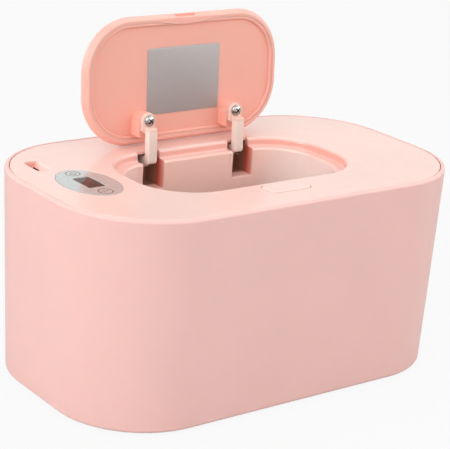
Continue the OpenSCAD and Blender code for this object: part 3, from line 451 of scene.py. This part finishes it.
def smooth_shading(obj):
    """Gives each corner the mean normal of the faces it meets smoothly, weighed by the flat they lie in."""
    mesh = obj.data
    points = np.empty(len(mesh.vertices) * 3, np.float32)
    mesh.vertices.foreach_get("co", points)
    points = points.reshape(-1, 3)
    _, spot = np.unique(np.round(points * 2e5).astype(np.int64), axis=0, return_inverse=True)
    spot = spot.ravel()
    corner = np.empty(len(mesh.loops), np.int32)
    mesh.loops.foreach_get("vertex_index", corner)
    tri = corner.reshape(-1, 3)
    p = points[tri].astype(np.float64)
    cross = np.cross(p[:, 1] - p[:, 0], p[:, 2] - p[:, 0])
    twice = np.linalg.norm(cross, axis=1)
    normal = cross / np.maximum(twice, 1e-18)[:, None]
    area = twice / 2
    face = spot[tri]
    sides = {}
    for t, (a, b, c) in enumerate(face.tolist()):
        for e in ((a, b), (b, c), (c, a)):
            sides.setdefault((min(e), max(e)), []).append(t)
    group = list(range(len(face)))

    def root(i):
        while group[i] != i:
            group[i] = group[group[i]]
            i = group[i]
        return i

    soft = {}
    cos_sharp = math.cos(SHARP)
    for edge, both in sides.items():
        if len(both) != 2:
            continue
        a, b = both
        dot = float(normal[a] @ normal[b])
        thin = min(area[a], area[b]) < 1e-12
        if dot > COPLANAR or thin:
            group[root(a)] = root(b)
        if dot > cos_sharp or thin:
            soft.setdefault(edge[0], []).append((a, b))
            soft.setdefault(edge[1], []).append((a, b))
    total = {}
    for t in range(len(face)):
        r = root(t)
        total[r] = total.get(r, 0.0) + area[t]
    around = {}
    for t, three in enumerate(face.tolist()):
        for v in three:
            around.setdefault(v, []).append(t)
    turned = {}
    for v, tris in around.items():
        fan = {t: t for t in tris}

        def top(i):
            while fan[i] != i:
                i = fan[i]
            return i

        for a, b in soft.get(v, ()):
            fan[top(a)] = top(b)
        sums = {}
        for t in tris:
            sums.setdefault(top(t), {}).setdefault(root(t), []).append(t)
        for head, regions in sums.items():
            n = np.zeros(3)
            for r, members in regions.items():
                big = max(members, key=lambda t: area[t])
                n += normal[big] * total[r]
            length = np.linalg.norm(n)
            n = n / length if length > 1e-15 else normal[head]
            for members in regions.values():
                for t in members:
                    turned[(t, v)] = n
    custom = [turned[(t, v)].tolist() for t, three in enumerate(face.tolist()) for v in three]
    mesh.polygons.foreach_set("use_smooth", [True] * len(mesh.polygons))
    mesh.normals_split_custom_set(custom)


# Stage and lights


def make_stage():
    """Floor that keeps its shadow and shows nearly white to the camera."""
    bpy.ops.mesh.primitive_plane_add(size=6.0, location=(0, 0, 0))
    floor = bpy.context.object
    floor.name = "floor"
    m = Nodes("floor")
    m.shader.inputs["Base Color"].default_value = (0.55, 0.55, 0.55, 1)
    m.shader.inputs["Roughness"].default_value = 0.9
    glow = m.add("ShaderNodeEmission")
    glow.inputs["Color"].default_value = (1, 1, 1, 1)
    path = m.add("ShaderNodeLightPath")
    share = m.add("ShaderNodeMath", operation="MULTIPLY")
    share.inputs[1].default_value = 0.9
    m.link(path.outputs["Is Camera Ray"], share.inputs[0])
    mixed = m.add("ShaderNodeMixShader")
    m.link(share.outputs[0], mixed.inputs[0])
    m.link(m.shader.outputs[0], mixed.inputs[1])
    m.link(glow.outputs[0], mixed.inputs[2])
    out = m.tree.nodes["Material Output"]
    m.link(mixed.outputs[0], out.inputs["Surface"])
    floor.data.materials.append(m.material)


def make_world():
    world = bpy.data.worlds.new("world")
    scene.world = world
    world.use_nodes = True
    tree = world.node_tree
    back = tree.nodes["Background"]
    back.inputs["Color"].default_value = (1.0, 0.99, 0.98, 1)
    path = tree.nodes.new("ShaderNodeLightPath")
    seen = tree.nodes.new("ShaderNodeMath")
    seen.operation = "MAXIMUM"
    tree.links.new(path.outputs["Is Camera Ray"], seen.inputs[0])
    tree.links.new(path.outputs["Is Glossy Ray"], seen.inputs[1])
    level = tree.nodes.new("ShaderNodeMapRange")
    level.inputs["To Min"].default_value = WORLD_LIGHT
    level.inputs["To Max"].default_value = 1.0
    tree.links.new(seen.outputs[0], level.inputs["Value"])
    tree.links.new(level.outputs["Result"], back.inputs["Strength"])


def area_light(name, at, aim, size, power):
    data = bpy.data.lights.new(name, "AREA")
    data.shape = "RECTANGLE"
    data.size, data.size_y = size
    data.energy = power
    lamp = bpy.data.objects.new(name, data)
    scene.collection.objects.link(lamp)
    lamp.location = at
    lamp.rotation_euler = (Vector((0, 0, aim)) - Vector(at)).to_track_quat("-Z", "Y").to_euler()


# Pieces: finer stand-ins for nodes, made in millimetres and placed by the nodes' own boxes


def box_mm(node):
    low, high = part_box(node)
    return Vector(low) / MM, Vector(high) / MM


def settle(bm, name, body, slot, replaced, finish=None, angle=35.0):
    """Turns a bmesh in millimetres into a piece that rides on a body."""
    bmesh.ops.recalc_face_normals(bm, faces=bm.faces)
    bmesh.ops.scale(bm, vec=(MM, MM, MM), verts=bm.verts)
    mesh = bpy.data.meshes.new(name)
    bm.to_mesh(mesh)
    bm.free()
    piece = bpy.data.objects.new(name, mesh)
    scene.collection.objects.link(piece)
    mesh.materials.append(finish or material(slot))
    mesh.polygons.foreach_set("use_smooth", [True] * len(mesh.polygons))
    mesh.set_sharp_from_angle(angle=math.radians(angle))
    if body:
        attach(piece, body)
    if replaced:
        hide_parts(*replaced)
    return piece


def stitch(bm, rings, closed=False):
    """Joins rings of the same count with four-sided faces. A closed stack joins its last ring to the first."""
    loops = [[bm.verts.new(p) for p in ring] for ring in rings]
    count = len(loops[0])
    pairs = list(zip(loops, loops[1:])) + ([(loops[-1], loops[0])] if closed else [])
    for a, b in pairs:
        for i in range(count):
            j = (i + 1) % count
            bm.faces.new((a[i], a[j], b[j], b[i]))
    if not closed:
        bm.faces.new(loops[0][::-1])
        bm.faces.new(loops[-1])


def softened(node, name, body, width, steps=3):
    """A copy of a node's shape whose sharp edges are rounded off."""
    bm = bmesh.new()
    bm.from_mesh(nodes[node].data)
    bmesh.ops.scale(bm, vec=(1 / MM, 1 / MM, 1 / MM), verts=bm.verts)
    bmesh.ops.remove_doubles(bm, verts=bm.verts, dist=0.004)
    bmesh.ops.dissolve_limit(bm, angle_limit=math.radians(0.8), verts=bm.verts, edges=bm.edges)
    least = math.radians(40.0)
    sharp = [e for e in bm.edges if len(e.link_faces) == 2 and e.calc_face_angle(0.0) > least]
    bmesh.ops.bevel(bm, geom=sharp, offset=width, segments=steps, profile=0.5, affect="EDGES",
                    clamp_overlap=True, offset_type="OFFSET")
    return settle(bm, name, body, slots[node], [node])


def circle(x, y, z, rx, ry, count):
    turns = [2 * math.pi * i / count for i in range(count)]
    return [(x + rx * math.cos(a), y + ry * math.sin(a), z) for a in turns]


def round_rect(x, y, z, hx, hy, r, count):
    """Points of a rounded rectangle, one for each equal step of angle about its middle."""
    points = []
    for i in range(count):
        a = 2 * math.pi * i / count
        c, s = math.cos(a), math.sin(a)
        reach = min(hx / max(abs(c), 1e-9), hy / max(abs(s), 1e-9))
        px, py = abs(c) * reach, abs(s) * reach
        ox, oy = hx - r, hy - r
        if px > ox and py > oy:
            # Where the ray crosses the corner's arc
            b = abs(c) * ox + abs(s) * oy
            d = b * b - (ox * ox + oy * oy - r * r)
            reach = b + math.sqrt(max(d, 0.0))
        points.append((x + reach * c, y + reach * s, z))
    return points


def wire(bm, path, r, sides):
    """A round wire along points, with closed ends."""
    path = [Vector(p) for p in path]
    up = Vector((0.13, 0.31, 0.94))
    around = [2 * math.pi * k / sides for k in range(sides)]
    rings = []
    for i, p in enumerate(path):
        t = (path[min(i + 1, len(path) - 1)] - path[max(i - 1, 0)]).normalized()
        a = (up - t * up.dot(t)).normalized()
        up = a
        b = t.cross(a)
        rings.append([p + (a * math.cos(turn) + b * math.sin(turn)) * r for turn in around])
    stitch(bm, rings)


def coil(at, along, across, r, rise, turns, start=0.0):
    """Points of a helix from at, rising along one axis. Its angle is counted from across."""
    steps = 28
    along = Vector(along)
    across = Vector(across)
    other = along.cross(across)
    count = int(round(turns * steps))
    points = []
    for i in range(count + 1):
        a = math.radians(start) + 2 * math.pi * i / steps
        points.append(Vector(at) + along * (rise * i / count)
                      + (across * math.cos(a) + other * math.sin(a)) * r)
    return points


# Control panel, its printed touch keys and the display window

KEY_Y = 15.0
KEY_R = 3.6
INK_HALF = 0.28
WINDOW_HALF = (4.75, 8.0)


def panel_top(x, y, centre, half, top):
    """Height of the slightly domed face."""
    out = ((x - centre[0]) / half[0]) ** 2 + ((y - centre[1]) / half[1]) ** 2
    return top - 0.12 * out * out


def make_panel():
    """Domed oval face with a hole for the window. Gives its middle, its half size and its height."""
    low, high = box_mm("control_panel")
    centre = (low + high) / 2
    half = (high - low) / 2
    count = 180
    hole = (centre.x, centre.y, 0.0, WINDOW_HALF[0], WINDOW_HALF[1], 1.0, count)
    inner = round_rect(*hole)
    rim = circle(centre.x, centre.y, 0.0, half.x, half.y, count)

    def between(t, drop=0.0, grow=1.0):
        ring = []
        for p, q in zip(inner, rim):
            x = centre.x + ((p[0] - centre.x) * (1 - t) + (q[0] - centre.x) * t) * grow
            y = centre.y + ((p[1] - centre.y) * (1 - t) + (q[1] - centre.y) * t) * grow
            ring.append((x, y, panel_top(x, y, centre, half, high.z) - drop))
        return ring

    rings = [[(x, y, low.z) for x, y, _ in between(1.0)], between(1.0, 0.2)]
    rings += [between(0.998, 0.06), between(0.985, 0.012), between(0.96)]
    rings += [between(t) for t in (0.8, 0.6, 0.4, 0.2, 0.08, 0.03)]
    rings += [between(0.01, 0.01), between(0.0, 0.06), [(x, y, low.z) for x, y, _ in inner]]
    bm = bmesh.new()
    stitch(bm, rings, closed=True)
    settle(bm, "control_panel_face", "cover", "panel_silver", ["control_panel"], angle=50.0)
    return centre, half, high.z


def print_strip(bm, left, right, height):
    """A closed thin print between two lines of points that run side by side."""
    thick = 0.03
    def lifted(p, up):
        return (p[0], p[1], height(p[0], p[1]) + up)

    low = -0.02
    stitch(bm, [[lifted(a, low), lifted(b, low), lifted(b, thick), lifted(a, thick)]
                for a, b in zip(left, right)])


def arc_points(x, y, r, start, end, count):
    turns = [math.radians(start + (end - start) * i / count) for i in range(count + 1)]
    return [(x + r * math.cos(a), y + r * math.sin(a)) for a in turns]


def make_keys(centre, half, top):
    """Two printed rings: a minus sign in the front one and a power sign in the rear one."""
    def height(x, y):
        return panel_top(x, y, centre, half, top)

    def arc(y, r, start, end, count):
        sides = [arc_points(centre.x, y, r + grow, start, end, count) for grow in (-INK_HALF, INK_HALF)]
        print_strip(bm, *sides, height)

    bm = bmesh.new()
    for side in (-1, 1):
        arc(centre.y + side * KEY_Y, KEY_R, 0, 359.9, 72)
    x, y = centre.x, centre.y - KEY_Y
    print_strip(bm, [(x - 1.6, y - INK_HALF), (x + 1.6, y - INK_HALF)],
                [(x - 1.6, y + INK_HALF), (x + 1.6, y + INK_HALF)], height)
    y = centre.y + KEY_Y
    arc(y - 0.2, 1.5, 125, 415, 40)
    print_strip(bm, [(x - INK_HALF, y + 0.1), (x - INK_HALF, y + 2.0)],
                [(x + INK_HALF, y + 0.1), (x + INK_HALF, y + 2.0)], height)
    settle(bm, "touch_key_marks", "cover", "black_plastic", [], finish=ink("ink", (0.05, 0.025, 0.02)))


def make_window():
    """Window with a flange below, and a polished edge."""
    low, high = box_mm("display_window")
    centre = (low + high) / 2
    count = 120
    hx, hy = WINDOW_HALF[0] - 0.15, WINDOW_HALF[1] - 0.15
    flange_top = low.z + 1.0
    rings = []
    for z, x, y, r in ((low.z, 6.2, 9.45, 2.4),
                       (flange_top - 0.1, 6.25, 9.5, 2.5),
                       (flange_top, 6.15, 9.4, 2.4),
                       (flange_top, hx, hy, 0.9),
                       (high.z - 0.3, hx, hy, 0.9),
                       (high.z - 0.1, hx - 0.05, hy - 0.05, 0.9),
                       (high.z - 0.02, hx - 0.2, hy - 0.2, 0.8),
                       (high.z, hx - 0.45, hy - 0.45, 0.7)):
        rings.append(round_rect(centre.x, centre.y, z, x, y, r, count))
    bm = bmesh.new()
    stitch(bm, rings)
    settle(bm, "display_lens", "cover", "window_red", ["display_window"])


def make_lid_springs():
    """A torsion spring beside each arm, with a straight leg at each end."""
    start = 31.5
    pitch = 0.82
    first_turn = Vector((start, HINGE.y, HINGE.z))
    turns = coil(first_turn, (1, 0, 0), (0, 1, 0), 2.3, pitch * 4, 4, -90.0)
    first, last = turns[0], turns[-1]
    path = [first - Vector((0, 5.0, 0)), first - Vector((0, 2.5, 0))] + turns
    path += [last + Vector((0.12, 1.25, 0)), last + Vector((0.24, 2.5, 0))]
    for side, name in ((-1, "left"), (1, "right")):
        bm = bmesh.new()
        wire(bm, [(side * p.x, p.y, p.z) for p in path], 0.35, 12)
        piece = settle(bm, "lid_spring_" + name, None, "spring_steel", ["lid_springs"], angle=60.0)
        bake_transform(piece)


def make_latch_spring():
    low, high = box_mm("latch_spring")
    centre = (low + high) / 2
    bm = bmesh.new()
    turns = coil((centre.x, low.y + 0.25, centre.z), (0, 1, 0), (1, 0, 0), 1.35, high.y - low.y - 0.5, 6)
    wire(bm, turns, 0.25, 12)
    piece = settle(bm, "latch_spring_coil", "cover", "spring_steel", ["latch_spring"], angle=60.0)
    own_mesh(piece)


def make_touch_springs():
    low, high = box_mm("touch_springs")
    centre = (low + high) / 2
    bm = bmesh.new()
    for side in (-1, 1):
        y = centre.y + side * KEY_Y
        turns = coil((centre.x, y, low.z + 0.35), (0, 0, 1), (1, 0, 0), 2.6, high.z - low.z - 0.7, 5)
        wire(bm, turns, 0.35, 12)
    settle(bm, "touch_spring_coils", "cover", "spring_steel", ["touch_springs"], angle=60.0)


def make_foam():
    """Foam sheet with rounded, slightly uneven edges."""
    low, high = box_mm("foam_pad")
    centre = (low + high) / 2
    half = (high - low) / 2
    corner = 29.0
    rings = []
    for z, inset in ((low.z, 1.4), (low.z + 0.5, 0.4), (low.z + 1.2, 0.05), (centre.z, 0.0),
                     (high.z - 1.2, 0.05), (high.z - 0.5, 0.4), (high.z, 1.4)):
        ring = []
        edge = round_rect(centre.x, centre.y, z, half.x - inset, half.y - inset, corner - inset, 240)
        for i, p in enumerate(edge):
            wave = 0.12 * math.sin(i * 1.7) * math.sin(i * 0.37 + z)
            out = Vector((p[0] - centre.x, p[1] - centre.y, 0)).normalized()
            ring.append(Vector(p) - out * (0.12 + wave))
        rings.append(ring)
    bm = bmesh.new()
    stitch(bm, rings)
    piece = settle(bm, "foam_sheet", "base", "foam", ["foam_pad"], angle=60.0)


def make_seam():
    """Flush strip in the groove between the lid's rim and its liner, laid out on the closed lid."""
    middle_y, half_x, half_y, corner = -1.3, 61.8, 33.6, 27.6
    low, high = LEDGE_Z + 0.6, LEDGE_Z + 0.9
    rings = []
    for z, inset in ((low, 3.3), (low, 4.05), (high, 4.05), (high, 3.3)):
        rings.append(round_rect(0.0, middle_y, z, half_x - inset, half_y - inset, corner - inset, 480))
    bm = bmesh.new()
    stitch(bm, rings, closed=True)
    bmesh.ops.rotate(bm, cent=HINGE, matrix=Matrix.Rotation(OPEN_ANGLE, 3, "X"), verts=bm.verts)
    settle(bm, "lid_seam", "lid", "liner_salmon", [])


def make_pieces():
    for side in ("left", "right"):
        softened("hinge_arm_" + side, "gooseneck_arm_" + side, "lid", 0.45)
    softened("arm_screws", "arm_screw_heads", "lid", 0.08, 2)
    softened("lid_plate", "lid_badge", "lid", 0.1, 2)
    make_keys(*make_panel())
    make_window()
    make_lid_springs()
    make_latch_spring()
    make_touch_springs()
    make_foam()
    make_seam()


WORLD_LIGHT = 0.16
# Name, place, height that it is aimed at over the middle, size and power of each soft lamp
LAMPS = (
    ("key", (-1.4, -0.5, 1.2), 0.06, (1.7, 1.7), 18.3),
    ("top", (0.3, 0.5, 1.6), 0.08, (1.6, 1.2), 10.0),
    ("front", (0.5, -1.5, 1.0), 0.08, (2.0, 1.5), 14.9),
    ("right", (1.6, -0.5, 0.9), 0.06, (1.5, 1.4), 10.7),
    ("left", (-1.8, 0.1, 0.6), 0.06, (1.0, 1.0), 10.8),
    ("back", (-0.9, 1.6, 0.5), 0.06, (1.0, 1.0), 5.0),
)
make_camera()
make_world()
make_stage()
for lamp in LAMPS:
    area_light(*lamp)

make_pieces()
for name, obj in nodes.items():
    if not obj.hide_render:
        smooth_shading(obj)
        dress(obj, slots[name])

scene.view_settings.view_transform = "Standard"
